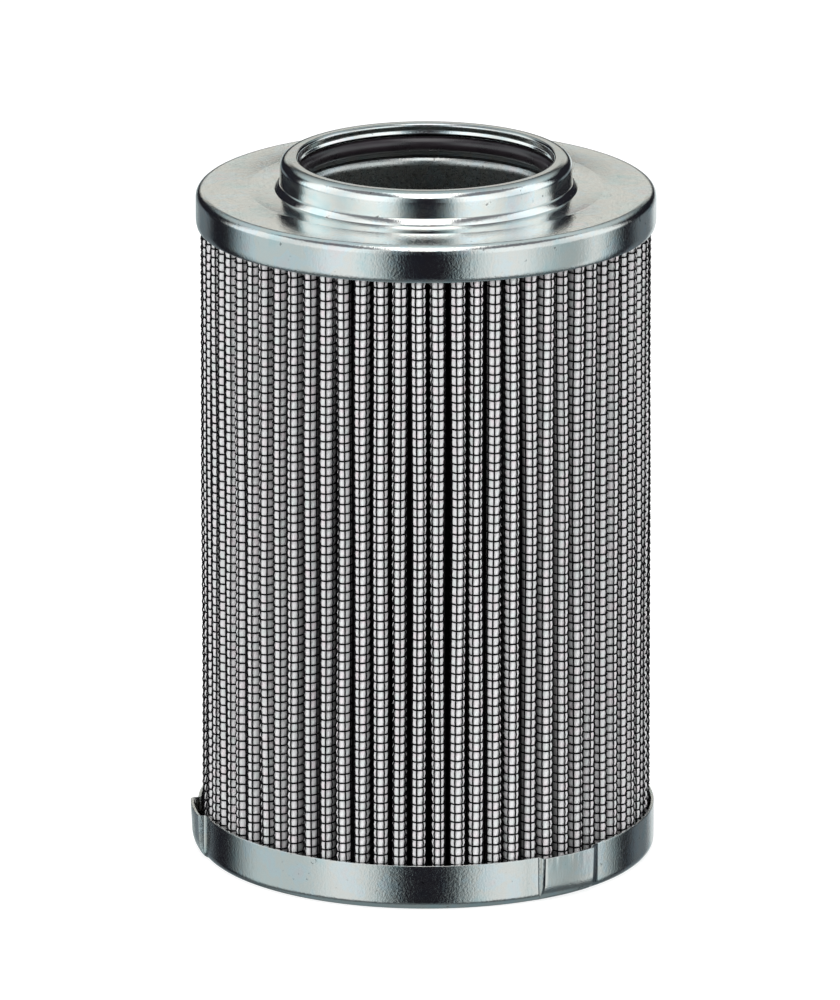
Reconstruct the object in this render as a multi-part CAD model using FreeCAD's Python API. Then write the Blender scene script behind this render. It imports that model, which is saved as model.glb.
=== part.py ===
"""Pleated hydraulic filter element with drawn steel end caps, a seal collar and a wire mesh jacket.

Millimetres, +Z up. The origin is the centre of the flat base that the element stands on, and
the element's axis is Z. The open end, with its seal, is on top.
"""
import FreeCAD, Part
import math
import os

# End caps
cap_diameter = 95.0
cap_sheet = 0.6
body_height = 141.3
top_skirt_height = 7.6
top_corner_radius = 1.1
bottom_skirt_height = 9.6
bottom_corner_radius = 1.8

# Neck of the top cap, which the machine's spigot enters
neck_bore = 51.0
neck_depth = 9.0
neck_shoulder_radius = 1.5

# Crimp pads, pressed out of the bottom cap's skirt
pad_count = 3
pad_first_azimuth = -52.9
pad_angle = 15.8
pad_flank_angle = 0.5
pad_rise = 1.35
pad_rim_flare = 0.2

# Sealing ring, held in a groove above the neck
seal_section = 3.3
seal_neck_reach = 0.2
seal_wall_gap = 1.0
seal_lip_gap = 0.7

# Seal collar, a drawn ring on the top cap
collar_sheet = 0.6
collar_corner_radius = 2.0
collar_foot_bulge = 0.8
collar_foot_radius = 0.9
collar_foot_flare = 0.4
collar_flange_setback = 0.1
lip_neck_setback = 0.7
lip_drop = 2.1
lip_edge_radius = 0.6

# Perforated core tube
core_wall = 1.0
core_neck_gap = 0.1
core_hole_width = 7.0
core_hole_height = 7.0
core_hole_columns = 10
core_hole_rows = 8
core_plain_end = 15.0

# Pleated pack of four sheets. A pleat is a finger that keeps its width from the tip to the core
outer_mesh_sheet = 0.25
fleece_sheet = 0.25
medium_sheet = 0.35
inner_mesh_sheet = 0.25
pleat_fold_gap = 0.4
pleat_core_gap = 0.26
pleat_first_azimuth = -1.9
pleat_shoulder = 1.1
pack_core_gap = 0.15
pack_skirt_gap = 0.2

# Upright wires of the outer mesh, two on each pleat tip
wire_width = 0.3
wire_height = 0.3
wire_spacing = 1.24
wire_tip_fall = 0.1

# Adhesive beds that hold the pack and the core in the caps
adhesive_depth = 2.4
adhesive_skirt_gap = 0.05

# Flats that make up a quarter turn of a bent sheet, and the seal's round section
bend_steps = 3
seal_steps = 12

# End cap radii
cap_radius = cap_diameter / 2
cap_inner_radius = cap_radius - cap_sheet
neck_radius = neck_bore / 2
shoulder_centre_radius = neck_radius + neck_shoulder_radius

# Seal and collar, stacked up from the top cap's flat
seal_floor = body_height + collar_sheet
seal_inner_radius = neck_radius - seal_neck_reach
collar_inner_radius = seal_inner_radius + seal_section + seal_wall_gap
collar_radius = collar_inner_radius + collar_sheet
lip_radius = neck_radius + lip_neck_setback
lip_end = seal_floor + seal_section + seal_lip_gap
collar_top = lip_end + lip_drop

# Core tube, standing round the neck's shoulder
core_inner_radius = shoulder_centre_radius + core_neck_gap
core_outer_radius = core_inner_radius + core_wall

# Pack, with as many pleats as lie side by side on the core
pack_sheet = outer_mesh_sheet + fleece_sheet + medium_sheet + inner_mesh_sheet
pack_inner_radius = core_outer_radius + pack_core_gap
pack_outer_radius = cap_inner_radius - pack_skirt_gap
pleat_width = 2 * pack_sheet + pleat_fold_gap
pleat_count = int(2 * math.pi * pack_inner_radius / (2 * pack_sheet + pleat_core_gap))
pack_bottom = cap_sheet + adhesive_depth
pack_top = body_height - cap_sheet - adhesive_depth


def rounding(centre_r, centre_z, radius_r, radius_z, start, end, steps=bend_steps):
    """Points (r, z) along a round corner between two directions in degrees."""
    points = []
    for i in range(steps + 1):
        turn = math.radians(start + (end - start) * i / steps)
        points.append((centre_r + radius_r * math.cos(turn), centre_z + radius_z * math.sin(turn)))
    return points


def bend(centre_r, centre_z, radius, start, end):
    """Points along a bend of one radius."""
    return rounding(centre_r, centre_z, radius, radius, start, end)


def turned(profile, angle=360.0):
    """Solid turned about the Z axis from the (r, z) corners of its section."""
    corners = [FreeCAD.Vector(r, 0, z) for r, z in profile]
    face = Part.Face(Part.makePolygon(corners, True))
    return face.revolve(FreeCAD.Vector(0, 0, 0), FreeCAD.Vector(0, 0, 1), angle)


def plain_ring(inner_radius, outer_radius, bottom, top):
    """Ring of rectangular section."""
    return turned([(inner_radius, bottom), (outer_radius, bottom), (outer_radius, top), (inner_radius, top)])


def make_top_end_cap():
    """Drawn cap: skirt, flat, rounded shoulder and the neck that dips into the core."""
    flat = body_height
    under = flat - cap_sheet
    skirt_edge = flat - top_skirt_height
    neck_edge = flat - neck_depth
    corner_r = cap_radius - top_corner_radius
    corner_z = flat - top_corner_radius
    shoulder_z = flat - neck_shoulder_radius
    return turned([
        (cap_inner_radius, skirt_edge),
        (cap_radius, skirt_edge),
        *bend(corner_r, corner_z, top_corner_radius, 0, 90),
        *bend(shoulder_centre_radius, shoulder_z, neck_shoulder_radius, 90, 180),
        (neck_radius, neck_edge),
        (neck_radius + cap_sheet, neck_edge),
        (neck_radius + cap_sheet, shoulder_z),
        (shoulder_centre_radius, under),
        (cap_inner_radius, under),
    ])


def make_bottom_end_cap():
    """Closed drawn cap with pads pressed out of its skirt."""
    base = bottom_corner_radius
    corner_r = cap_radius - base
    cap = turned([
        (0, 0),
        *bend(corner_r, base, base, -90, 0),
        (cap_radius, bottom_skirt_height),
        (cap_inner_radius, bottom_skirt_height),
        (cap_inner_radius, base),
        (corner_r, cap_sheet),
        (0, cap_sheet),
    ])
    raised = pad_body(0, [(cap_inner_radius, base), (corner_r, cap_sheet)])
    hollow = pad_body(cap_sheet, [(corner_r, base)])
    for i in range(pad_count):
        turn = pad_first_azimuth + i * 360.0 / pad_count
        cap = cap.fuse(about_axis(raised, turn))
        cap = cap.cut(about_axis(hollow, turn))
    return cap


def pad_body(inset, back):
    """Space within a pad's outer face, or within its inner face where the sheet's inset is given.

    The flanks lean out towards the rim. Below the wall, the foot is rounded into the base and
    closed by the given back corners (r, z).
    """
    half = pad_angle / 2 - math.degrees(inset / cap_radius)
    base = bottom_corner_radius
    corner_r = cap_radius - base
    foot_radius = cap_radius + pad_rise - inset
    rim_radius = foot_radius + pad_rim_flare
    wall = Part.makeLoft([
        arc_band(back[0][0], foot_radius, half, half, base),
        arc_band(back[0][0], rim_radius, half + pad_flank_angle, half, bottom_skirt_height),
    ], True, True)
    foot = turned([
        *rounding(corner_r, base, foot_radius - corner_r, base - inset, -90, 0),
        *back,
    ], 2 * half)
    return wall.fuse(about_axis(foot, -half))


def arc_band(inner, outer, inner_half, outer_half, z):
    """Closed wire between two arcs about the axis, centred on the X axis."""
    def at(radius, angle):
        turn = math.radians(angle)
        return FreeCAD.Vector(radius * math.cos(turn), radius * math.sin(turn), z)

    near = Part.Arc(at(inner, -inner_half), at(inner, 0), at(inner, inner_half)).toShape()
    far = Part.Arc(at(outer, -outer_half), at(outer, 0), at(outer, outer_half)).toShape()
    side = Part.makeLine(at(inner, inner_half), at(outer, outer_half))
    other = Part.makeLine(at(outer, -outer_half), at(inner, -inner_half))
    return Part.Wire([near, side, far, other])


def about_axis(shape, angle):
    """Copy of a shape turned about the Z axis."""
    copy = shape.copy()
    copy.rotate(FreeCAD.Vector(0, 0, 0), FreeCAD.Vector(0, 0, 1), angle)
    return copy


def make_seal_collar():
    """Drawn ring: a lip turned down at the top, a rounded foot and a flange under the seal."""
    flange_edge = shoulder_centre_radius + collar_flange_setback
    foot_r = collar_radius + collar_foot_bulge - collar_foot_radius
    foot_z = body_height + collar_foot_radius
    corner_r = collar_radius - collar_corner_radius
    corner_z = collar_top - collar_corner_radius
    return turned([
        (flange_edge, body_height),
        *bend(foot_r, foot_z, collar_foot_radius, -90, 30),
        (collar_radius, foot_z + collar_foot_radius + collar_foot_flare),
        *bend(corner_r, corner_z, collar_corner_radius, 0, 90),
        *bend(lip_radius + lip_edge_radius, collar_top - lip_edge_radius, lip_edge_radius, 90, 180),
        (lip_radius, lip_end),
        (lip_radius + collar_sheet, lip_end),
        (lip_radius + collar_sheet, collar_top - collar_sheet),
        (corner_r, collar_top - collar_sheet),
        (collar_inner_radius, corner_z),
        (collar_inner_radius, seal_floor),
        (flange_edge, seal_floor),
    ])


def make_seal_o_ring():
    """Rubber ring lying on the collar's flange."""
    section = seal_section / 2
    centre_r = seal_inner_radius + section
    centre_z = seal_floor + section
    points = rounding(centre_r, centre_z, section, section, -90, 270, seal_steps)
    return turned(points[:-1])


def make_core_tube():
    """Steel tube with rows of square holes, standing between the two caps."""
    tube = plain_ring(core_inner_radius, core_outer_radius, cap_sheet, body_height - cap_sheet)
    low = core_plain_end
    high = body_height - core_plain_end
    row_step = (high - low) / (core_hole_rows - 1)
    reach = core_outer_radius + core_wall
    punches = []
    for row in range(core_hole_rows):
        for column in range(core_hole_columns):
            corner = FreeCAD.Vector(0, -core_hole_width / 2, low + row * row_step - core_hole_height / 2)
            punch = Part.makeBox(reach, core_hole_width, core_hole_height, corner)
            stagger = 0.5 * (row % 2)
            punches.append(about_axis(punch, (column + stagger) * 360.0 / core_hole_columns))
    return tube.cut(Part.makeCompound(punches))


def polar_offset(radius, angle, sideways):
    """Point at a radius along a ray, moved sideways from it, at the pack's lower end."""
    x = radius * math.cos(angle) - sideways * math.sin(angle)
    y = radius * math.sin(angle) + sideways * math.cos(angle)
    return FreeCAD.Vector(x, y, pack_bottom)


def wired_tip():
    """Half tip of the outer mesh as (sideways, drop) corners, with an upright wire as a ridge."""
    wire = wire_spacing / 2
    return [
        (pleat_width / 2, wire_height + pleat_shoulder),
        (wire + wire_width / 2, wire_height + wire_tip_fall),
        (wire, 0),
        (wire - wire_width / 2, wire_height),
    ]


def plain_tip(depth):
    """Half tip of a sheet that lies a depth inside the pack's outer face."""
    return [(pleat_width / 2 - depth, wire_height + pleat_shoulder / 2 + depth)]


def pleat_surface(depth, tip):
    """Closed wire along all pleats, at a depth inside the pack's outer face.

    At the core each leg turns back into its neighbour, as far from the parting line as its depth.
    """
    valley = pack_inner_radius + pack_sheet - depth
    pitch = 2 * math.pi / pleat_count
    points = []
    for i in range(pleat_count):
        middle = math.radians(pleat_first_azimuth) + i * pitch
        if depth > 0:
            points.append(polar_offset(valley, middle - pitch / 2, depth))
        for sideways, drop in tip:
            points.append(polar_offset(pack_outer_radius - drop, middle, -sideways))
        for sideways, drop in reversed(tip):
            points.append(polar_offset(pack_outer_radius - drop, middle, sideways))
        points.append(polar_offset(valley, middle + pitch / 2, -depth))
    return Part.makePolygon(points, True)


def make_pack():
    """The pleated sheets by name, each lying on the next."""
    sheets = [
        ("outer_wire_mesh", outer_mesh_sheet),
        ("outer_fleece", fleece_sheet),
        ("filter_medium", medium_sheet),
        ("inner_wire_mesh", inner_mesh_sheet),
    ]
    height = FreeCAD.Vector(0, 0, pack_top - pack_bottom)
    made = {}
    depth = 0.0
    outer = pleat_surface(depth, wired_tip())
    for name, sheet in sheets:
        depth += sheet
        inner = pleat_surface(depth, plain_tip(depth))
        made[name] = Part.Face([outer, inner]).extrude(height)
        outer = inner
    return made


def make_top_adhesive():
    """Set adhesive between the pack's top and the top cap's flat."""
    skirt = cap_inner_radius - adhesive_skirt_gap
    return plain_ring(core_outer_radius, skirt, pack_top, body_height - cap_sheet)


def make_bottom_adhesive():
    """Set adhesive under the pack, with its outer edge laid in the bottom cap's corner."""
    skirt = cap_inner_radius - adhesive_skirt_gap
    corner = cap_radius - bottom_corner_radius - adhesive_skirt_gap
    return turned([
        (core_outer_radius, cap_sheet),
        (corner, cap_sheet),
        (skirt, bottom_corner_radius),
        (skirt, pack_bottom),
        (core_outer_radius, pack_bottom),
    ])


def main():
    parts = {
        "top_end_cap": make_top_end_cap(),
        "seal_collar": make_seal_collar(),
        "seal_o_ring": make_seal_o_ring(),
        "bottom_end_cap": make_bottom_end_cap(),
        "core_tube": make_core_tube(),
        "top_adhesive": make_top_adhesive(),
        "bottom_adhesive": make_bottom_adhesive(),
    }
    parts.update(make_pack())
    os.makedirs("parts", exist_ok=True)
    for name, shape in parts.items():
        shape.exportStep(os.path.join("parts", name + ".step"))


main()
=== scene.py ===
"""Pleated hydraulic filter element: drawn steel end caps, seal collar with O-ring, mesh-covered pack."""
import math

import bmesh
import bpy
from mathutils import Matrix, Vector, noise


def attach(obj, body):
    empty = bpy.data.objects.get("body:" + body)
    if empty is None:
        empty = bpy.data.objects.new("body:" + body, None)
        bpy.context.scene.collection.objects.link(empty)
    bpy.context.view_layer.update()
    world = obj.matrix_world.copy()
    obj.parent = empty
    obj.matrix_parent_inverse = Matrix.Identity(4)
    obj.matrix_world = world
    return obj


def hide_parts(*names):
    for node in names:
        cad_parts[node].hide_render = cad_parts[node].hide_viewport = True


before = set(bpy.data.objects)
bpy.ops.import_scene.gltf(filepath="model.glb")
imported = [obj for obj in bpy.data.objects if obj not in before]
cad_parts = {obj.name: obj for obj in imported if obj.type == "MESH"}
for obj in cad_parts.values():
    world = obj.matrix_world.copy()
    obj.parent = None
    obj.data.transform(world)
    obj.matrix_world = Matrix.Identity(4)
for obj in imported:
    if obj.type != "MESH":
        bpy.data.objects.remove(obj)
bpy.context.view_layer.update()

mm = 0.001

# Camera
# A long lens from the front, a little above the element. It stands square to the axis, and a
# millimetre of sideways shift keeps the element where the photograph has it.
view_elevation = math.radians(16.13)
view_distance = 3.0
view_aim = Vector((0, 0, 70 * mm))
view_lift = 4.07 * mm
view_shift = -1.245 * mm
view_back = Vector((0, -math.cos(view_elevation), math.sin(view_elevation)))
view_up = Vector((0, math.sin(view_elevation), math.cos(view_elevation)))
camera_data = bpy.data.cameras.new("camera")
camera_data.lens = 520.6
camera_data.sensor_width = 36
camera_data.clip_end = 50
camera = bpy.data.objects.new("camera", camera_data)
camera.location = view_aim + view_distance * view_back + view_lift * view_up + Vector((view_shift, 0, 0))
camera.rotation_euler = (math.pi / 2 - view_elevation, 0, 0)
bpy.context.scene.collection.objects.link(camera)
bpy.context.scene.camera = camera
bpy.context.scene.view_settings.view_transform = "Standard"


# Studio floor
# A wide, pale, matt sheet that the element stands on. The camera sees it almost white, with the
# element's soft shadow.
def new_material(name):
    """Material with an empty node tree, its nodes and its links."""
    material = bpy.data.materials.new(name)
    material.use_nodes = True
    material.node_tree.nodes.clear()
    return material, material.node_tree.nodes, material.node_tree.links


floor_size = 12.0
floor_drop = 0.1 * mm
bm = bmesh.new()
bmesh.ops.create_grid(bm, x_segments=1, y_segments=1, size=floor_size / 2)
bmesh.ops.translate(bm, verts=bm.verts, vec=(0, 0, -floor_drop))
floor_mesh = bpy.data.meshes.new("studio_floor")
bm.to_mesh(floor_mesh)
bm.free()
floor = bpy.data.objects.new("studio_floor", floor_mesh)
bpy.context.scene.collection.objects.link(floor)
floor.visible_glossy = False
material, nodes, links = new_material("pale_floor")
light_path = nodes.new("ShaderNodeLightPath")
matt = nodes.new("ShaderNodeBsdfDiffuse")
matt.inputs["Color"].default_value = (0.8, 0.8, 0.8, 1)
seen_matt = nodes.new("ShaderNodeBsdfDiffuse")
seen_matt.inputs["Color"].default_value = (0.42, 0.42, 0.42, 1)
seen_glow = nodes.new("ShaderNodeEmission")
seen_glow.inputs["Color"].default_value = (0.78, 0.78, 0.78, 1)
seen = nodes.new("ShaderNodeAddShader")
mixed = nodes.new("ShaderNodeMixShader")
output = nodes.new("ShaderNodeOutputMaterial")
links.new(seen_matt.outputs[0], seen.inputs[0])
links.new(seen_glow.outputs[0], seen.inputs[1])
links.new(light_path.outputs["Is Camera Ray"], mixed.inputs["Fac"])
links.new(matt.outputs[0], mixed.inputs[1])
links.new(seen.outputs[0], mixed.inputs[2])
links.new(mixed.outputs[0], output.inputs["Surface"])
floor_mesh.materials.append(material)


# Studio light
# Soft boxes with dark gaps between them stand round the element for its bright metal to mirror,
# with a strip light overhead and a pale wall behind. Three large lamps light the matt surfaces.
def ramp(nodes, stops):
    """Colour ramp from (position, colour) stops."""
    node = nodes.new("ShaderNodeValToRGB")
    elements = node.color_ramp.elements
    elements.remove(elements[-1])
    elements[0].position = stops[0][0]
    elements[0].color = (*stops[0][1], 1)
    for position, colour in stops[1:]:
        element = elements.new(position)
        element.color = (*colour, 1)
    return node


def level(nodes, links, value, low, high, to_low, to_high):
    """Value taken from one range to another, and held inside it."""
    node = nodes.new("ShaderNodeMapRange")
    node.inputs["From Min"].default_value = low
    node.inputs["From Max"].default_value = high
    node.inputs["To Min"].default_value = to_low
    node.inputs["To Max"].default_value = to_high
    links.new(value, node.inputs["Value"])
    return node.outputs["Result"]


def worked_out(nodes, links, operation, first, second=0):
    """Math on a value and, where it takes two, on a second value or a plain number."""
    node = nodes.new("ShaderNodeMath")
    node.operation = operation
    links.new(first, node.inputs[0])
    if isinstance(second, (int, float)):
        node.inputs[1].default_value = second
    else:
        links.new(second, node.inputs[1])
    return node.outputs[0]


def blended(nodes, links, first, second, share, mode="MIX"):
    """Colour mix, each side a socket or a plain colour, its share a socket or a plain number."""
    node = nodes.new("ShaderNodeMix")
    node.data_type = "RGBA"
    node.blend_type = mode
    for name, given in (("Factor", share), ("A", first), ("B", second)):
        socket = next(s for s in node.inputs if s.name == name and s.enabled)
        if isinstance(given, bpy.types.NodeSocket):
            links.new(given, socket)
        elif name == "Factor":
            socket.default_value = given
        else:
            socket.default_value = (*given, 1)
    return next(s for s in node.outputs if s.enabled)


dark_gap = (0.014, 0.014, 0.019)
gap_haze = (0.10, 0.12, 0.13)
gap_edge = (0.26, 0.33, 0.35)
side_box = (0.42, 0.49, 0.50)
soft_box = (0.60, 0.70, 0.72)
middle_box = (0.78, 0.84, 0.86)
bright_box = (0.91, 0.97, 0.98)
back_room = (0.15, 0.18, 0.20)
back_wall = (0.84, 0.85, 0.80)
ceiling = (0.20, 0.21, 0.23)
upper_box = (1.08, 1.16, 1.18)
strip_light = (1.9, 1.95, 1.95)
matt_light = (0.32, 0.325, 0.33)
front_reach = (111 / 360, 118 / 360)
low_boxes = [
    (-180, side_box), (-168, side_box), (-158, back_room), (-142, back_room), (-136, dark_gap),
    (-116, dark_gap), (-108, gap_edge), (-98, soft_box), (-60, soft_box), (-50, bright_box),
    (-34, bright_box), (-24, soft_box), (-19, gap_edge), (-14, dark_gap), (14, dark_gap),
    (19, gap_edge), (24, soft_box), (34, bright_box), (50, bright_box), (60, soft_box),
    (72, side_box), (84, side_box), (94, bright_box), (101, soft_box), (108, gap_edge),
    (115, dark_gap), (124, dark_gap), (134, back_room), (152, back_room), (166, bright_box), (180, side_box),
]
high_boxes = [
    (-116, bright_box), (-96, upper_box), (-82, bright_box), (-72, middle_box), (-62, bright_box),
    (-46, upper_box), (-34, upper_box), (-24, middle_box), (-19, gap_edge), (-12, gap_haze), (-7, dark_gap),
    (7, dark_gap), (12, gap_haze), (19, gap_edge), (24, middle_box), (34, upper_box), (46, upper_box),
    (62, bright_box), (72, middle_box), (82, bright_box), (96, upper_box), (116, bright_box),
]
world = bpy.data.worlds.new("studio")
bpy.context.scene.world = world
world.use_nodes = True
nodes = world.node_tree.nodes
links = world.node_tree.links
nodes.clear()
direction = nodes.new("ShaderNodeTexCoord")
turn = nodes.new("ShaderNodeMapping")
turn.vector_type = "VECTOR"
turn.inputs["Rotation"].default_value = (0, 0, math.pi / 2)
around = nodes.new("ShaderNodeTexGradient")
around.gradient_type = "RADIAL"
split = nodes.new("ShaderNodeSeparateXYZ")
links.new(direction.outputs["Generated"], turn.inputs["Vector"])
links.new(turn.outputs[0], around.inputs["Vector"])
links.new(direction.outputs["Generated"], split.inputs[0])
low_ring = ramp(nodes, [(0.5 + angle / 360, colour) for angle, colour in low_boxes])
high_ring = ramp(nodes, [(0.5 + angle / 360, colour) for angle, colour in high_boxes])
behind = ramp(nodes, [
    (0.0, dark_gap), (0.12, dark_gap), (0.17, back_wall), (0.31, back_wall), (0.36, dark_gap),
    (0.40, dark_gap), (0.52, side_box), (0.66, soft_box), (1.0, soft_box),
])
links.new(around.outputs["Fac"], low_ring.inputs["Fac"])
links.new(around.outputs["Fac"], high_ring.inputs["Fac"])
links.new(split.outputs["Z"], behind.inputs["Fac"])
from_front = worked_out(nodes, links, "SUBTRACT", around.outputs["Fac"], 0.5)
off_front = worked_out(nodes, links, "ABSOLUTE", from_front)
in_front = level(nodes, links, off_front, *front_reach, 1, 0)
box_top = level(nodes, links, split.outputs["Z"], 0.66, 0.74, 0, 1)
above = level(nodes, links, split.outputs["Z"], -0.10, -0.02, 0, 1)
sideways = worked_out(nodes, links, "ABSOLUTE", split.outputs["X"])
in_strip = level(nodes, links, sideways, 0.20, 0.32, 1, 0)
high_up = level(nodes, links, split.outputs["Z"], 0.64, 0.72, 0, 1)
not_behind = level(nodes, links, split.outputs["Y"], 0.10, 0.22, 1, 0)
overhead = worked_out(nodes, links, "MULTIPLY", high_up, not_behind)
strip = worked_out(nodes, links, "MULTIPLY", in_strip, overhead)
in_wall = level(nodes, links, sideways, 0.20, 0.34, 1, 0)
over_wall = level(nodes, links, split.outputs["Z"], 0.38, 0.42, 0, 1)
wall_width = worked_out(nodes, links, "MAXIMUM", in_wall, over_wall)
rear = blended(nodes, links, dark_gap, behind.outputs["Color"], wall_width)
boxes = blended(nodes, links, high_ring.outputs["Color"], ceiling, box_top)
upper = blended(nodes, links, rear, boxes, in_front)
straight_down = level(nodes, links, split.outputs["Z"], -0.72, -0.82, 0, 0.8)
near_foot = blended(nodes, links, gap_haze, gap_edge, straight_down)
below = level(nodes, links, split.outputs["Z"], -0.50, -0.60, 0, 1)
lower = blended(nodes, links, low_ring.outputs["Color"], near_foot, below)
ring = blended(nodes, links, lower, upper, above)
mirrored = blended(nodes, links, ring, strip_light, strip)
light_path = nodes.new("ShaderNodeLightPath")
plain = nodes.new("ShaderNodeBackground")
plain.inputs["Color"].default_value = (*matt_light, 1)
mirror_glow = nodes.new("ShaderNodeBackground")
white = nodes.new("ShaderNodeBackground")
white.inputs["Color"].default_value = (1, 1, 1, 1)
for_metal = nodes.new("ShaderNodeMixShader")
for_camera = nodes.new("ShaderNodeMixShader")
output = nodes.new("ShaderNodeOutputWorld")
seen_white = worked_out(nodes, links, "MAXIMUM", light_path.outputs["Is Camera Ray"],
                        light_path.outputs["Is Transmission Ray"])
links.new(mirrored, mirror_glow.inputs["Color"])
links.new(light_path.outputs["Is Glossy Ray"], for_metal.inputs["Fac"])
links.new(plain.outputs[0], for_metal.inputs[1])
links.new(mirror_glow.outputs[0], for_metal.inputs[2])
links.new(seen_white, for_camera.inputs["Fac"])
links.new(for_metal.outputs[0], for_camera.inputs[1])
links.new(white.outputs[0], for_camera.inputs[2])
links.new(for_camera.outputs[0], output.inputs["Surface"])

lamp_aim = Vector((0, 0, 70 * mm))
lamp_places = [
    ("left_lamp", (-2.0, -1.9, 1.2), 1.3, 43.0),
    ("right_lamp", (2.2, -1.6, 1.3), 1.3, 36.0),
    ("top_lamp", (0.0, -0.7, 2.4), 1.4, 28.0),
]
for name, place, size, power in lamp_places:
    lamp_data = bpy.data.lights.new(name, "AREA")
    lamp_data.size = size
    lamp_data.energy = power
    lamp = bpy.data.objects.new(name, lamp_data)
    lamp.location = place
    lamp.rotation_euler = (lamp_aim - Vector(place)).to_track_quat("-Z", "Y").to_euler()
    lamp.visible_glossy = False
    bpy.context.scene.collection.objects.link(lamp)


# Top end cap
# A cap drawn from 0.6 mm steel sheet and zinc plated, with a skirt, a flat and a neck that dips
# into the core. It is stuck on the pack with adhesive. The neck guides the machine's spigot.
sheet = 0.6
cap_radius = 47.5
cap_inside = cap_radius - sheet
cap_flat = 141.3
cap_under = cap_flat - sheet
skirt_edge = 133.7
neck_radius = 25.5
neck_outside = neck_radius + sheet
neck_edge = 132.3
merge_distance = 0.002
crease_angle = math.radians(40)


def turned_ring(corners, steps=360, start=0.0):
    """Closed ring spun from the (radius, height, rounding) corners of its section.

    A corner on each side of a rounding keeps the long walls flat in smooth shading.
    """
    support, spare = 0.12, 0.5
    bm = bmesh.new()
    points = []
    for index, (radius, height, rounding) in enumerate(corners):
        place = Vector((radius, 0, height))
        for step in (-1, 0, 1):
            beside = corners[(index + step) % len(corners)]
            way = Vector((beside[0], 0, beside[1])) - place
            if step == 0:
                points.append((place, rounding))
            elif rounding and way.length > rounding + beside[2] + spare:
                points.append((place + way.normalized() * (rounding + support), 0))
    section = [bm.verts.new(place * mm) for place, rounding in points]
    bm.faces.new(section)
    for vert, (place, rounding) in zip(section, points):
        if rounding:
            bmesh.ops.bevel(bm, geom=[vert], offset=rounding * mm, offset_type="OFFSET", affect="VERTICES",
                            segments=6 if rounding > 0.5 else 3, profile=0.5, material=-1)
    bmesh.ops.delete(bm, geom=bm.faces[:], context="FACES_ONLY")
    on_axis = [edge for edge in bm.edges if max(vert.co.x for vert in edge.verts) < 1e-6]
    bmesh.ops.delete(bm, geom=on_axis, context="EDGES")
    bmesh.ops.rotate(bm, verts=bm.verts, cent=(0, 0, 0), matrix=Matrix.Rotation(start, 3, "Z"))
    bmesh.ops.spin(bm, geom=bm.verts[:] + bm.edges[:], cent=(0, 0, 0), axis=(0, 0, 1), dvec=(0, 0, 0),
                   angle=2 * math.pi, steps=steps, use_merge=True, use_duplicate=False)
    bmesh.ops.remove_doubles(bm, verts=bm.verts, dist=merge_distance * mm)
    bmesh.ops.recalc_face_normals(bm, faces=bm.faces)
    for face in bm.faces:
        face.smooth = True
    for edge in bm.edges:
        edge.smooth = edge.calc_face_angle(0) < crease_angle
    return bm


def new_piece(name, bm, materials, nodes_replaced):
    """Scene object from a finished mesh, riding with the element."""
    mesh = bpy.data.meshes.new(name)
    bm.to_mesh(mesh)
    bm.free()
    for material in materials:
        mesh.materials.append(material)
    piece = bpy.data.objects.new(name, mesh)
    bpy.context.scene.collection.objects.link(piece)
    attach(piece, "root")
    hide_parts(*nodes_replaced)
    return piece


def noise_texture(nodes, links, coordinates, scale, detail=2.0, roughness=0.5):
    """Three-dimensional noise on the given coordinates."""
    node = nodes.new("ShaderNodeTexNoise")
    node.inputs["Scale"].default_value = scale
    node.inputs["Detail"].default_value = detail
    node.inputs["Roughness"].default_value = roughness
    links.new(coordinates, node.inputs["Vector"])
    return node.outputs["Fac"]


def surface(nodes, links, colour, roughness):
    """Principled shader on the material's output, its roughness a socket or a plain number."""
    shader = nodes.new("ShaderNodeBsdfPrincipled")
    output = nodes.new("ShaderNodeOutputMaterial")
    links.new(colour, shader.inputs["Base Color"])
    if isinstance(roughness, bpy.types.NodeSocket):
        links.new(roughness, shader.inputs["Roughness"])
    else:
        shader.inputs["Roughness"].default_value = roughness
    links.new(shader.outputs[0], output.inputs["Surface"])
    return shader


def relieved(nodes, links, shader, height, strength, depth):
    """Fine relief on a surface, its depth in millimetres."""
    bump = nodes.new("ShaderNodeBump")
    bump.inputs["Strength"].default_value = strength
    bump.inputs["Distance"].default_value = depth * mm
    links.new(height, bump.inputs["Height"])
    links.new(bump.outputs["Normal"], shader.inputs["Normal"])


def new_group(name, inputs, outputs):
    """Shader node group with float inputs and (name, kind) outputs, its nodes, links and two ends."""
    group = bpy.data.node_groups.new(name, "ShaderNodeTree")
    for socket in inputs:
        group.interface.new_socket(socket, in_out="INPUT", socket_type="NodeSocketFloat")
    for socket, kind in outputs:
        group.interface.new_socket(socket, in_out="OUTPUT", socket_type=kind)
    ends = group.nodes.new("NodeGroupInput"), group.nodes.new("NodeGroupOutput")
    return group, group.nodes, group.links, *ends


zinc_group, nodes, links, group_in, group_out = new_group(
    "zinc_plating", ["Shade", "Roughness low", "Roughness high"],
    [("Color", "NodeSocketColor"), ("Roughness", "NodeSocketFloat"), ("Height", "NodeSocketFloat")])
place = nodes.new("ShaderNodeTexCoord")
bloom = noise_texture(nodes, links, place.outputs["Object"], 130, 3, 0.6)
bloom_tint = ramp(nodes, [
    (0.28, (0.80, 0.95, 0.96)), (0.42, (0.94, 0.97, 0.95)), (0.52, (0.98, 0.96, 0.92)),
    (0.60, (0.91, 0.98, 1.00)), (0.72, (0.99, 0.93, 0.93)),
])
drawn = nodes.new("ShaderNodeMapping")
drawn.inputs["Scale"].default_value = (1, 1, 0.03)
links.new(bloom, bloom_tint.inputs["Fac"])
links.new(place.outputs["Object"], drawn.inputs["Vector"])
drawing_marks = noise_texture(nodes, links, drawn.outputs[0], 1500, 3, 0.6)
grain = noise_texture(nodes, links, place.outputs["Object"], 2200, 2, 0.7)
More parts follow.
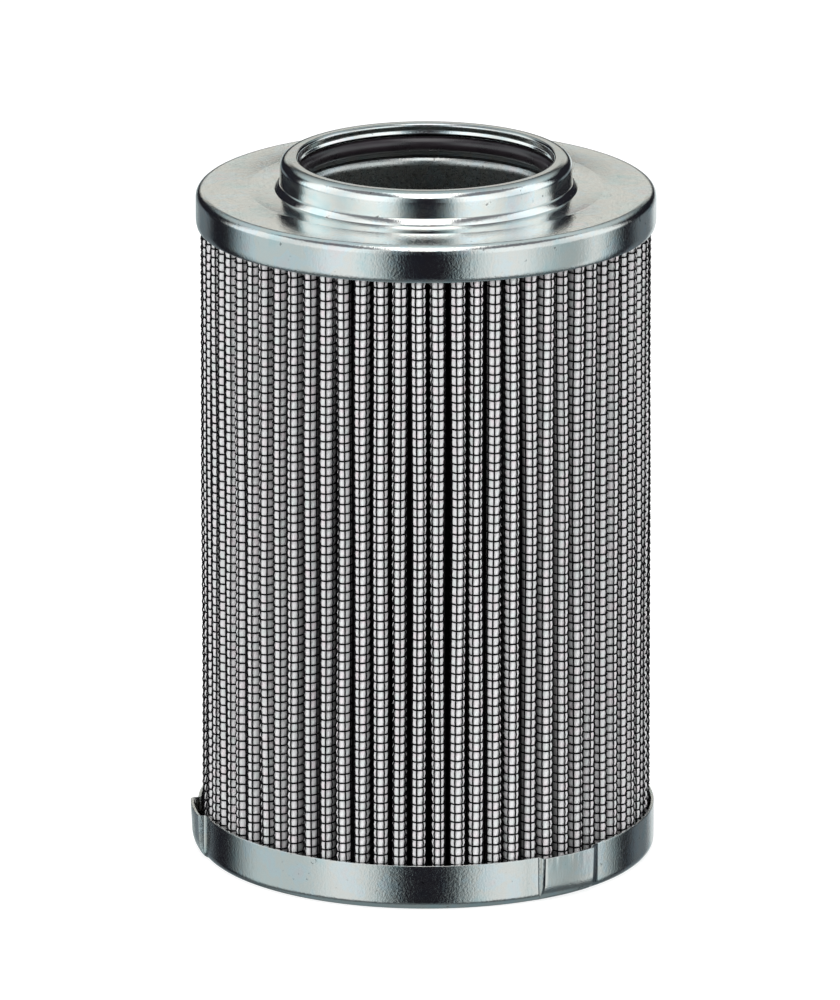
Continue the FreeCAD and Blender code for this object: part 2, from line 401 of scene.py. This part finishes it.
spots = noise_texture(nodes, links, place.outputs["Object"], 900, 2, 0.5)
spot_shade = level(nodes, links, spots, 0.70, 0.77, 1.0, 0.45)
shade = worked_out(nodes, links, "MULTIPLY", group_in.outputs["Shade"], spot_shade)
shade_colour = nodes.new("ShaderNodeCombineColor")
for channel in ("Red", "Green", "Blue"):
    links.new(shade, shade_colour.inputs[channel])
tinted = blended(nodes, links, bloom_tint.outputs["Color"], shade_colour.outputs[0], 1.0, "MULTIPLY")
links.new(tinted, group_out.inputs["Color"])
spread = nodes.new("ShaderNodeMix")
links.new(level(nodes, links, grain, 0.3, 0.7, 0, 1), spread.inputs["Factor"])
links.new(group_in.outputs["Roughness low"], spread.inputs["A"])
links.new(group_in.outputs["Roughness high"], spread.inputs["B"])
links.new(spread.outputs["Result"], group_out.inputs["Roughness"])
faint_marks = worked_out(nodes, links, "MULTIPLY", drawing_marks, 0.25)
links.new(worked_out(nodes, links, "ADD", grain, faint_marks), group_out.inputs["Height"])


def zinc_material(name, shade, rough_low, rough_high, relief):
    """Bright zinc plate with its own polish and grain."""
    material, nodes, links = new_material(name)
    plating = nodes.new("ShaderNodeGroup")
    plating.node_tree = zinc_group
    plating.inputs["Shade"].default_value = shade
    plating.inputs["Roughness low"].default_value = rough_low
    plating.inputs["Roughness high"].default_value = rough_high
    shader = surface(nodes, links, plating.outputs["Color"], plating.outputs["Roughness"])
    shader.inputs["Metallic"].default_value = 1.0
    relieved(nodes, links, shader, plating.outputs["Height"], relief, 0.05)
    return material


top_cap_corners = [
    (cap_inside, skirt_edge, 0.1), (47.25, skirt_edge, 0.12), (cap_radius, 134.6, 0.5),
    (cap_radius, cap_flat, 1.7), (36.9, cap_flat, 0), (36.7, 141.27, 0), (36.5, cap_flat, 0),
    (neck_radius, cap_flat, 2.0), (neck_radius, neck_edge, 0.12), (neck_outside, neck_edge, 0.12),
    (neck_outside, cap_under, 1.4), (cap_inside, cap_under, 1.0),
]
top_zinc = zinc_material("top_cap_zinc", 0.78, 0.09, 0.17, 0.6)
# The inside of the neck and its shoulder get a rougher zinc whose darker colour is painted shade in the
# recess.
neck_zinc_painted_shade = zinc_material("neck_zinc_painted_shade", 0.58, 0.24, 0.34, 0.7)
bm = turned_ring(top_cap_corners, 300)
for face in bm.faces:
    if face.calc_center_median().xy.length < (neck_outside + 0.1) * mm:
        face.material_index = 1
new_piece("top_cap_drawn", bm, [top_zinc, neck_zinc_painted_shade], ["top_end_cap"])


# Seal collar
# A ring drawn from the same plated sheet. Its lip is turned in and down over the O-ring, its foot
# is rolled out on the cap's flat, and a flange runs in under the ring. It is pressed on and welded.
collar_outside = 30.2
collar_inside = collar_outside - sheet
collar_top = 148.0
lip_under = collar_top - sheet
flange_edge = 27.1
flange_top = cap_flat + sheet
lip_inside = 26.4
lip_outside = 27.05
collar_corners = [
    (flange_edge, cap_flat, 0.04), (31.25, cap_flat, 0), (31.15, 141.55, 0), (30.4, 142.6, 0.3),
    (collar_outside, 142.65, 0), (collar_outside, 142.8, 0), (collar_outside, collar_top, 2.1),
    (lip_inside, collar_top, 0.6), (lip_inside, 146.4, 0.2), (26.1, 145.9, 0.1), (26.5, 145.65, 0.1),
    (lip_outside, 146.4, 0.3), (lip_outside, lip_under, 0.3), (collar_inside, lip_under, 1.3),
    (collar_inside, flange_top, 0.1), (flange_edge, flange_top, 0.04),
]
collar_shade = 0.96
lip_top_painted_shade = 0.52
collar_zinc = zinc_material("collar_zinc", collar_shade, 0.08, 0.14, 0.35)
nodes = collar_zinc.node_tree.nodes
links = collar_zinc.node_tree.links
place = nodes.new("ShaderNodeTexCoord")
split = nodes.new("ShaderNodeSeparateXYZ")
links.new(place.outputs["Object"], split.inputs[0])
# Painted shade: the collar's colour darkens over the top of the lip, from its underside upwards, so the lip's
# top face is darker.
lip_zone = (lip_under * mm, (lip_under + 0.5) * mm)
lip_painted_shade = level(nodes, links, split.outputs["Z"], *lip_zone, collar_shade, lip_top_painted_shade)
links.new(lip_painted_shade, next(node for node in nodes if node.type == "GROUP").inputs["Shade"])
# The flange's inner rim under the O-ring is a dull sheared edge, and its dark colour is also painted shade
# under the ring.
cut_edge_and_painted_shade = zinc_material("cut_edge_and_painted_shade", 0.25, 0.4, 0.55, 0.6)
bm = turned_ring(collar_corners, 240)
for face in bm.faces:
    middle = face.calc_center_median() / mm
    if middle.xy.length < flange_edge + 0.2 and middle.z < flange_top + 0.1:
        face.material_index = 1
new_piece("collar_drawn", bm, [collar_zinc, cut_edge_and_painted_shade], ["seal_collar"])


# O-ring
# A moulded nitrile rubber ring of 3.3 mm section that lies loose in the collar's groove and seals
# against the spigot.
ring_section_radius = 1.64
ring_centre = (26.95, 143.55)
bm = bmesh.new()
bmesh.ops.create_circle(bm, cap_ends=False, segments=24, radius=ring_section_radius * mm,
                        matrix=Matrix.Translation((ring_centre[0] * mm, 0, ring_centre[1] * mm))
                        @ Matrix.Rotation(math.pi / 2, 4, "X"))
bmesh.ops.spin(bm, geom=bm.verts[:] + bm.edges[:], cent=(0, 0, 0), axis=(0, 0, 1), dvec=(0, 0, 0),
               angle=2 * math.pi, steps=240, use_merge=True, use_duplicate=False)
bmesh.ops.remove_doubles(bm, verts=bm.verts, dist=merge_distance * mm)
bmesh.ops.recalc_face_normals(bm, faces=bm.faces)
for face in bm.faces:
    face.smooth = True
rubber, nodes, links = new_material("nitrile_rubber")
place = nodes.new("ShaderNodeTexCoord")
bloom = noise_texture(nodes, links, place.outputs["Object"], 160, 4, 0.6)
rubber_tint = ramp(nodes, [(0.3, (0.010, 0.008, 0.010)), (0.7, (0.024, 0.018, 0.022))])
grain = noise_texture(nodes, links, place.outputs["Object"], 2600, 2, 0.6)
links.new(bloom, rubber_tint.inputs["Fac"])
shader = surface(nodes, links, rubber_tint.outputs["Color"], level(nodes, links, bloom, 0.3, 0.7, 0.24, 0.34))
shader.inputs["Specular IOR Level"].default_value = 0.7
relieved(nodes, links, shader, grain, 0.3, 0.02)
new_piece("o_ring_moulded", bm, [rubber], ["seal_o_ring"])


# Bottom end cap
# A closed cap drawn from the same plated sheet, stuck on the pack's lower end. Three square pads
# are pressed out of its skirt by the crimping jaws, with sharp flanks and a rounded lower edge.
bottom_height = 9.6
base_rounding = 1.8
outer_wall = [(cap_radius, 2.0 + 0.42 * step, 0) for step in range(18)]
inner_wall = [(cap_inside, 8.8 - 2.3 * step, 0) for step in range(4)]
bottom_cap_corners = [
    (0, 0, 0), (cap_radius, 0, base_rounding), *outer_wall, (cap_radius, bottom_height, 0.1),
    (cap_inside, bottom_height, 0.1), *inner_wall, (cap_inside, sheet, 1.2), (0, sheet, 0),
]
pad_middle = -52.75
pad_half_angle = 7.75
pad_out = 1.33
pad_rim_out = 0.2
pad_foot_rounding = 4.4
dent_depth = 0.06
crease_depth = 0.16
crease_foot = 4.5
edge_width = 1.1
flank_reach = 3.2
# How the skirt goes down beside a pad, by the degrees outside the pad's edge: the degrees at which
# that line of the sheet lies after pressing, and its share of the pad's rise.
pad_edge = {-0.5: (-0.08, 1), 0.5: (0.004, 0.96)}
crushed_edge = {-1.0: (-0.76, 1), -0.5: (-0.70, 0.98), 0.0: (-0.06, 0.75), 0.5: (0.0, 0.70)}
steep_flank = {1.0: (0.012, 0.29), 1.5: (0.02, 0.24), 2.0: (0.12, 0.12), 2.5: (0.45, 0.03), 3.0: (0.90, 0)}
slack_flank = {1.0: (0.05, 0.62), 1.5: (0.90, 0.42), 2.0: (1.90, 0.22), 2.5: (2.80, 0.07), 3.0: (3.30, 0)}
bm = turned_ring(bottom_cap_corners, 720, math.radians(pad_middle - pad_half_angle))
for vert in bm.verts:
    radius = vert.co.xy.length / mm
    height = vert.co.z / mm
    angle = math.degrees(math.atan2(vert.co.y, vert.co.x)) - pad_middle
    off = (angle + 60) % 120 - 60
    if radius < cap_radius - base_rounding or abs(off) > pad_half_angle + flank_reach:
        continue
    edge = round(2 * (abs(off) - pad_half_angle)) / 2
    left = off < 0
    front_pad = abs(angle) < 60
    flank = slack_flank if front_pad and not left else steep_flank
    side = {**flank, **(crushed_edge if left else pad_edge)}
    moved, share = side.get(edge, (edge, 1))
    pressed = 1 - max(0.0, 1 - height / pad_foot_rounding) ** 2
    if left and -edge_width < edge < 0.1:
        moved *= pressed
    inwards = math.radians(edge - moved) * (1 if left else -1)
    vert.co = Matrix.Rotation(inwards, 3, "Z") @ vert.co
    rise = pad_out * pressed
    rise += pad_rim_out * max(0.0, height - pad_foot_rounding) / (bottom_height - pad_foot_rounding)
    if edge < -edge_width:
        near_rim = max(0.0, (height - crease_foot) / (bottom_height - crease_foot)) ** 2
        creases = noise.noise(Vector((1.1 * off, 0.12 * height, 4)))
        rise += dent_depth * noise.noise(vert.co * 240) + crease_depth * near_rim * creases
    vert.co.xy *= (radius + share * rise) / radius
bottom_zinc = zinc_material("bottom_cap_zinc", 0.72, 0.12, 0.20, 0.7)
new_piece("bottom_cap_drawn", bm, [bottom_zinc], ["bottom_end_cap"])


# Core tube
# A perforated steel tube that stands between the caps and keeps the pack from collapsing. It is
# seen only through the neck.
core_zinc = zinc_material("core_zinc", 0.50, 0.35, 0.5, 0.8)
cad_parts["core_tube"].material_slots[0].material = core_zinc


# Adhesive
# Beds of set epoxy in both caps that seal the ends of the pleats. They are amber-grey, with a
# slightly uneven, satin surface.
adhesive, nodes, links = new_material("set_adhesive")
place = nodes.new("ShaderNodeTexCoord")
cloud = noise_texture(nodes, links, place.outputs["Object"], 90, 4, 0.6)
cloud_tint = ramp(nodes, [(0.3, (0.30, 0.26, 0.19)), (0.7, (0.42, 0.37, 0.28))])
links.new(cloud, cloud_tint.inputs["Fac"])
shader = surface(nodes, links, cloud_tint.outputs["Color"], level(nodes, links, cloud, 0.3, 0.7, 0.35, 0.55))
relieved(nodes, links, shader, cloud, 0.4, 0.2)
for name in ("top_adhesive", "bottom_adhesive"):
    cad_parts[name].material_slots[0].material = adhesive


# Pleated pack, fleece
# Off-white polyester fleece lies under the mesh, folded with it into 72 pleats. No two pleats
# stand quite alike, and the fleece bulges into a small pillow in every opening of the mesh.
pleats = 72
first_azimuth = math.radians(-1.9)
pack_low = 3.0
pack_high = 138.3
tip_radius = 46.7
valley_radius = 29.35
tip_half_width = 1.68
tip_depth = 2.15
tip_length = 2.9
leg_length = 15.0
squareness = 2.1
wire_pitch = 1.8
row_pitch = 1.86
first_row = 3.81
fleece_depth = 0.42
pillow_rise = 0.27
fading_depth = 17.0


def wander(pleat, height):
    """Sideways lean, wire shift, width and set-back of a pleat at a height, in millimetres."""
    turn = pleat % pleats
    lean = 0.34 * noise.noise(Vector((3.7 * turn, 0.018 * height, 5.0)))
    lean += 0.30 * noise.noise(Vector((9.3 * turn, 0.4, 2.5)))
    shift = 0.25 + 0.9 * noise.noise(Vector((5.1 * turn, 0.006 * height, 9.2)))
    width = 1 + 0.14 * noise.noise(Vector((7.7 * turn, 0.010 * height, 1.3)))
    back = 0.45 * abs(noise.noise(Vector((2.9 * turn, 0.012 * height, 7.1))))
    return lean, shift, width, back


def row_height(pleat, count):
    """Height of a row of the mesh on a pleat, by its number from below."""
    sway = 0.18 * noise.noise(Vector((4.3 * (pleat % pleats), 0.9 * count, 3.3)))
    return min(pack_high, max(pack_low, first_row + row_pitch * count + sway))


def fold_point(pleat, along, height, depth):
    """Place on a pleat, by the length along its fold from the tip and the depth below the mesh."""
    lean, shift, width, back = wander(pleat, height)
    side = 1 if along > 0 else -1
    run = abs(along)
    half = tip_half_width * width - depth
    if run <= tip_length:
        bow = math.radians(90 * run / tip_length)
        sideways = half * math.sin(bow) ** (2 / squareness)
        drop = tip_depth - (tip_depth - depth) * math.cos(bow) ** (2 / squareness)
    else:
        share = min(1.0, (run - tip_length) / leg_length)
        valley_half = valley_radius * math.sin(math.pi / pleats) - depth
        sideways = half + (valley_half - half) * share
        drop = tip_depth + share * (tip_radius - tip_depth - valley_radius + depth)
    fade = max(0.0, 1 - drop / fading_depth)
    radius = tip_radius - drop - back * fade
    sideways = side * sideways + lean * fade
    angle = first_azimuth + 2 * math.pi * pleat / pleats
    return Vector((radius * math.cos(angle) - sideways * math.sin(angle),
                   radius * math.sin(angle) + sideways * math.cos(angle), height)) * mm


def pleated_sheet(name, depth, rise, near_tip, counts, material, replaced):
    """Sheet folded into all pleats, its UV map counted in wire spacings along the fold and upwards.

    It rises between the mesh's wires, which lie at every second place near the tip and every
    second row, where it is given a rise.
    """
    reach = tip_length + leg_length
    folds = [-reach, *near_tip, reach]
    columns = pleats * len(folds)
    rows = len(counts) - 1
    bm = bmesh.new()
    bmesh.ops.create_grid(bm, x_segments=columns, y_segments=rows, size=0.5)
    counted = bm.loops.layers.uv.new("wires")
    for vert in bm.verts:
        pleat, fold = divmod(round((vert.co.x + 0.5) * columns), len(folds))
        count = counts[round((vert.co.y + 0.5) * rows)]
        height = row_height(pleat, count)
        paired = pleat % 2 == 0
        wire_count = folds[fold] / wire_pitch + (0.5 if paired else 0)
        between = abs(wire_count % 1 - 0.5) < 0.1 and abs(count % 1 - 0.5) < 0.1
        along = folds[fold]
        if 0 < fold < len(folds) - 1:
            along += wander(pleat, height)[1]
        for loop in vert.link_loops:
            loop[counted].uv = (20 * pleat + wire_count, count)
        vert.co = fold_point(pleat, along, height, depth - (rise if between else 0))
    bmesh.ops.remove_doubles(bm, verts=bm.verts, dist=0.001 * mm)
    for face in bm.faces:
        face.smooth = True
    return new_piece(name, bm, [material], replaced)


# Painted shade: deep in the folds the fleece's colour goes almost black, and it keeps its own colour only
# near the tips.
painted_fold_shade = (0.03, 0.03, 0.03)
fleece, nodes, links = new_material("fleece")
place = nodes.new("ShaderNodeTexCoord")
tint_noise = noise_texture(nodes, links, place.outputs["Object"], 420, 2, 0.5)
fleece_tint = ramp(nodes, [
    (0.30, (0.76, 0.80, 0.79)), (0.42, (0.80, 0.81, 0.81)),
    (0.55, (0.82, 0.81, 0.82)), (0.70, (0.84, 0.78, 0.80)),
])
fibres = noise_texture(nodes, links, place.outputs["Object"], 5200, 3, 0.7)
fibre_tint = ramp(nodes, [(0.3, (0.88, 0.88, 0.88)), (0.7, (1.0, 1.0, 1.0))])
outward = nodes.new("ShaderNodeVectorMath")
outward.operation = "MULTIPLY"
outward.inputs[1].default_value = (1, 1, 0)
radius = nodes.new("ShaderNodeVectorMath")
radius.operation = "LENGTH"
links.new(place.outputs["Object"], outward.inputs[0])
links.new(outward.outputs[0], radius.inputs[0])
links.new(tint_noise, fleece_tint.inputs["Fac"])
links.new(fibres, fibre_tint.inputs["Fac"])
fibred = blended(nodes, links, fleece_tint.outputs["Color"], fibre_tint.outputs["Color"], 1.0, "MULTIPLY")
near_tip = level(nodes, links, radius.outputs["Value"], 43.4 * mm, 45.0 * mm, 0, 1)
shader = surface(nodes, links, blended(nodes, links, painted_fold_shade, fibred, near_tip), 0.9)
relieved(nodes, links, shader, fibres, 0.5, 0.03)
half_cells = [0.5 * wire_pitch * step for step in range(-3, 4)]
low_count = (pack_low - first_row) / row_pitch
high_count = (pack_high - first_row) / row_pitch
half_rows = [low_count, *[0.5 * step for step in range(int(2 * high_count) + 1)], high_count]
middle_row = len(half_rows) // 2
pleated_sheet("fleece_pleats_low", fleece_depth, pillow_rise, half_cells, half_rows[:middle_row + 1],
              fleece, ["outer_fleece"])
pleated_sheet("fleece_pleats_high", fleece_depth, pillow_rise, half_cells, half_rows[middle_row:],
              fleece, ["outer_fleece"])


# Pleated pack, wire mesh
# Woven mild steel wire, 0.33 mm thick and coated black, folded with the fleece inside it. The
# rounds cross every pleat, and one or two uprights on each tip are pinned by them at each row.
wire_radius = 0.165
wire_reach = 4.2
round_depth = 0.16
pinned_depth = 0.33
free_depth = 0.10
tip_reach = 2.0
steps_on_leg = 12
black_wire, nodes, links = new_material("black_wire")
place = nodes.new("ShaderNodeTexCoord")
coat = noise_texture(nodes, links, place.outputs["Object"], 500, 3, 0.6)
coat_tint = ramp(nodes, [(0.3, (0.003, 0.003, 0.004)), (0.75, (0.010, 0.009, 0.010))])
links.new(coat, coat_tint.inputs["Fac"])
shader = surface(nodes, links, coat_tint.outputs["Color"], level(nodes, links, coat, 0.3, 0.7, 0.42, 0.6))
shader.inputs["Specular IOR Level"].default_value = 0.05


def wires(name, routes):
    """Mesh of round wires along the given lines of points."""
    lines = bpy.data.curves.new(name + "_lines", "CURVE")
    lines.dimensions = "3D"
    lines.bevel_depth = wire_radius * mm
    lines.bevel_resolution = 0
    lines.use_fill_caps = True
    for route in routes:
        line = lines.splines.new("POLY")
        line.points.add(len(route) - 1)
        line.points.foreach_set("co", [value for point in route for value in (*point, 1.0)])
    holder = bpy.data.objects.new(name + "_lines", lines)
    bpy.context.scene.collection.objects.link(holder)
    drawn = bpy.data.meshes.new_from_object(holder.evaluated_get(bpy.context.evaluated_depsgraph_get()))
    bpy.data.objects.remove(holder)
    bpy.data.curves.remove(lines)
    bm = bmesh.new()
    bm.from_mesh(drawn)
    bpy.data.meshes.remove(drawn)
    bmesh.ops.recalc_face_normals(bm, faces=bm.faces)
    for face in bm.faces:
        face.smooth = True
    return new_piece(name, bm, [black_wire], ["outer_wire_mesh"])


round_places = [tip_length * (step / 3 - 1) for step in range(7)]
across = [-tip_length - wire_reach, *round_places, tip_length + wire_reach]
row_count = int(high_count) + 1
for name, low, high in (("low", 0, 24), ("middle", 24, 48), ("high", 48, row_count)):
    routes = []
    for row in range(low, high):
        for pleat in range(pleats):
            height = row_height(pleat, row)
            routes.append([fold_point(pleat, along, height, round_depth) for along in across])
    wires("mesh_rounds_" + name, routes)
for name, parity in (("paired", 0), ("single", 1)):
    routes = []
    for pleat in range(parity, pleats, 2):
        for count in range(-4, 5):
            home = (count + 0.5 - 0.5 * parity) * wire_pitch
            if abs(home) > tip_length + wire_reach:
                continue
            on_tip = abs(home) < tip_reach
            line = []
            for row in half_rows if on_tip else half_rows[::steps_on_leg] + half_rows[-1:]:
                height = row_height(pleat, row)
                depth = free_depth if on_tip and abs(row % 1 - 0.5) < 0.1 else pinned_depth
                line.append(fold_point(pleat, home + wander(pleat, height)[1], height, depth))
            routes.append(line)
    wires("mesh_uprights_" + name, routes)


# Pleated pack, medium
# The filtering layer: a white glass fibre felt under the fleece, folded with it. It is hidden, and
# shows only where the pack is cut.
medium_depth = 0.62
coarse_folds = [-2.6, -1.5, 0, 1.5, 2.6]
coarse_rows = [low_count, *range(8, 72, 8), high_count]
glass_fibre, nodes, links = new_material("glass_fibre")
place = nodes.new("ShaderNodeTexCoord")
fibres = noise_texture(nodes, links, place.outputs["Object"], 3000, 4, 0.7)
fibre_tint = ramp(nodes, [(0.3, (0.70, 0.70, 0.67)), (0.7, (0.82, 0.82, 0.79))])
links.new(fibres, fibre_tint.inputs["Fac"])
relieved(nodes, links, surface(nodes, links, fibre_tint.outputs["Color"], 0.9), fibres, 0.5, 0.04)
medium = pleated_sheet("medium_pleats", medium_depth, 0, coarse_folds, coarse_rows,
                       glass_fibre, ["filter_medium"])
wall = medium.modifiers.new("sheet", "SOLIDIFY")
wall.thickness = 0.28 * mm
wall.offset = -1


# Pleated pack, inner mesh
# The same black wire mesh again on the clean side, where it carries the medium against the core.
# Its weave is in its material.
inner_mesh_depth = 0.95
inner_mesh, nodes, links = new_material("inner_mesh")
counted = nodes.new("ShaderNodeUVMap")
counted.uv_map = "wires"
cells = nodes.new("ShaderNodeSeparateXYZ")
links.new(counted.outputs[0], cells.inputs[0])
nearness = []
for axis in ("X", "Y"):
    cell = worked_out(nodes, links, "FRACT", cells.outputs[axis])
    from_middle = worked_out(nodes, links, "ABSOLUTE", worked_out(nodes, links, "SUBTRACT", cell, 0.5))
    nearness.append(level(nodes, links, from_middle, 0.40, 0.48, 0, 1))
wire_here = worked_out(nodes, links, "MAXIMUM", *nearness)
wire_tint = ramp(nodes, [(0.0, (0.60, 0.60, 0.58)), (0.4, (0.02, 0.02, 0.02)), (1.0, (0.006, 0.006, 0.007))])
links.new(wire_here, wire_tint.inputs["Fac"])
relieved(nodes, links, surface(nodes, links, wire_tint.outputs["Color"], 0.6), wire_here, 0.8, 0.15)
inner = pleated_sheet("inner_mesh_pleats", inner_mesh_depth, 0, coarse_folds, coarse_rows,
                      inner_mesh, ["inner_wire_mesh"])
wall = inner.modifiers.new("sheet", "SOLIDIFY")
wall.thickness = 0.18 * mm
wall.offset = -1
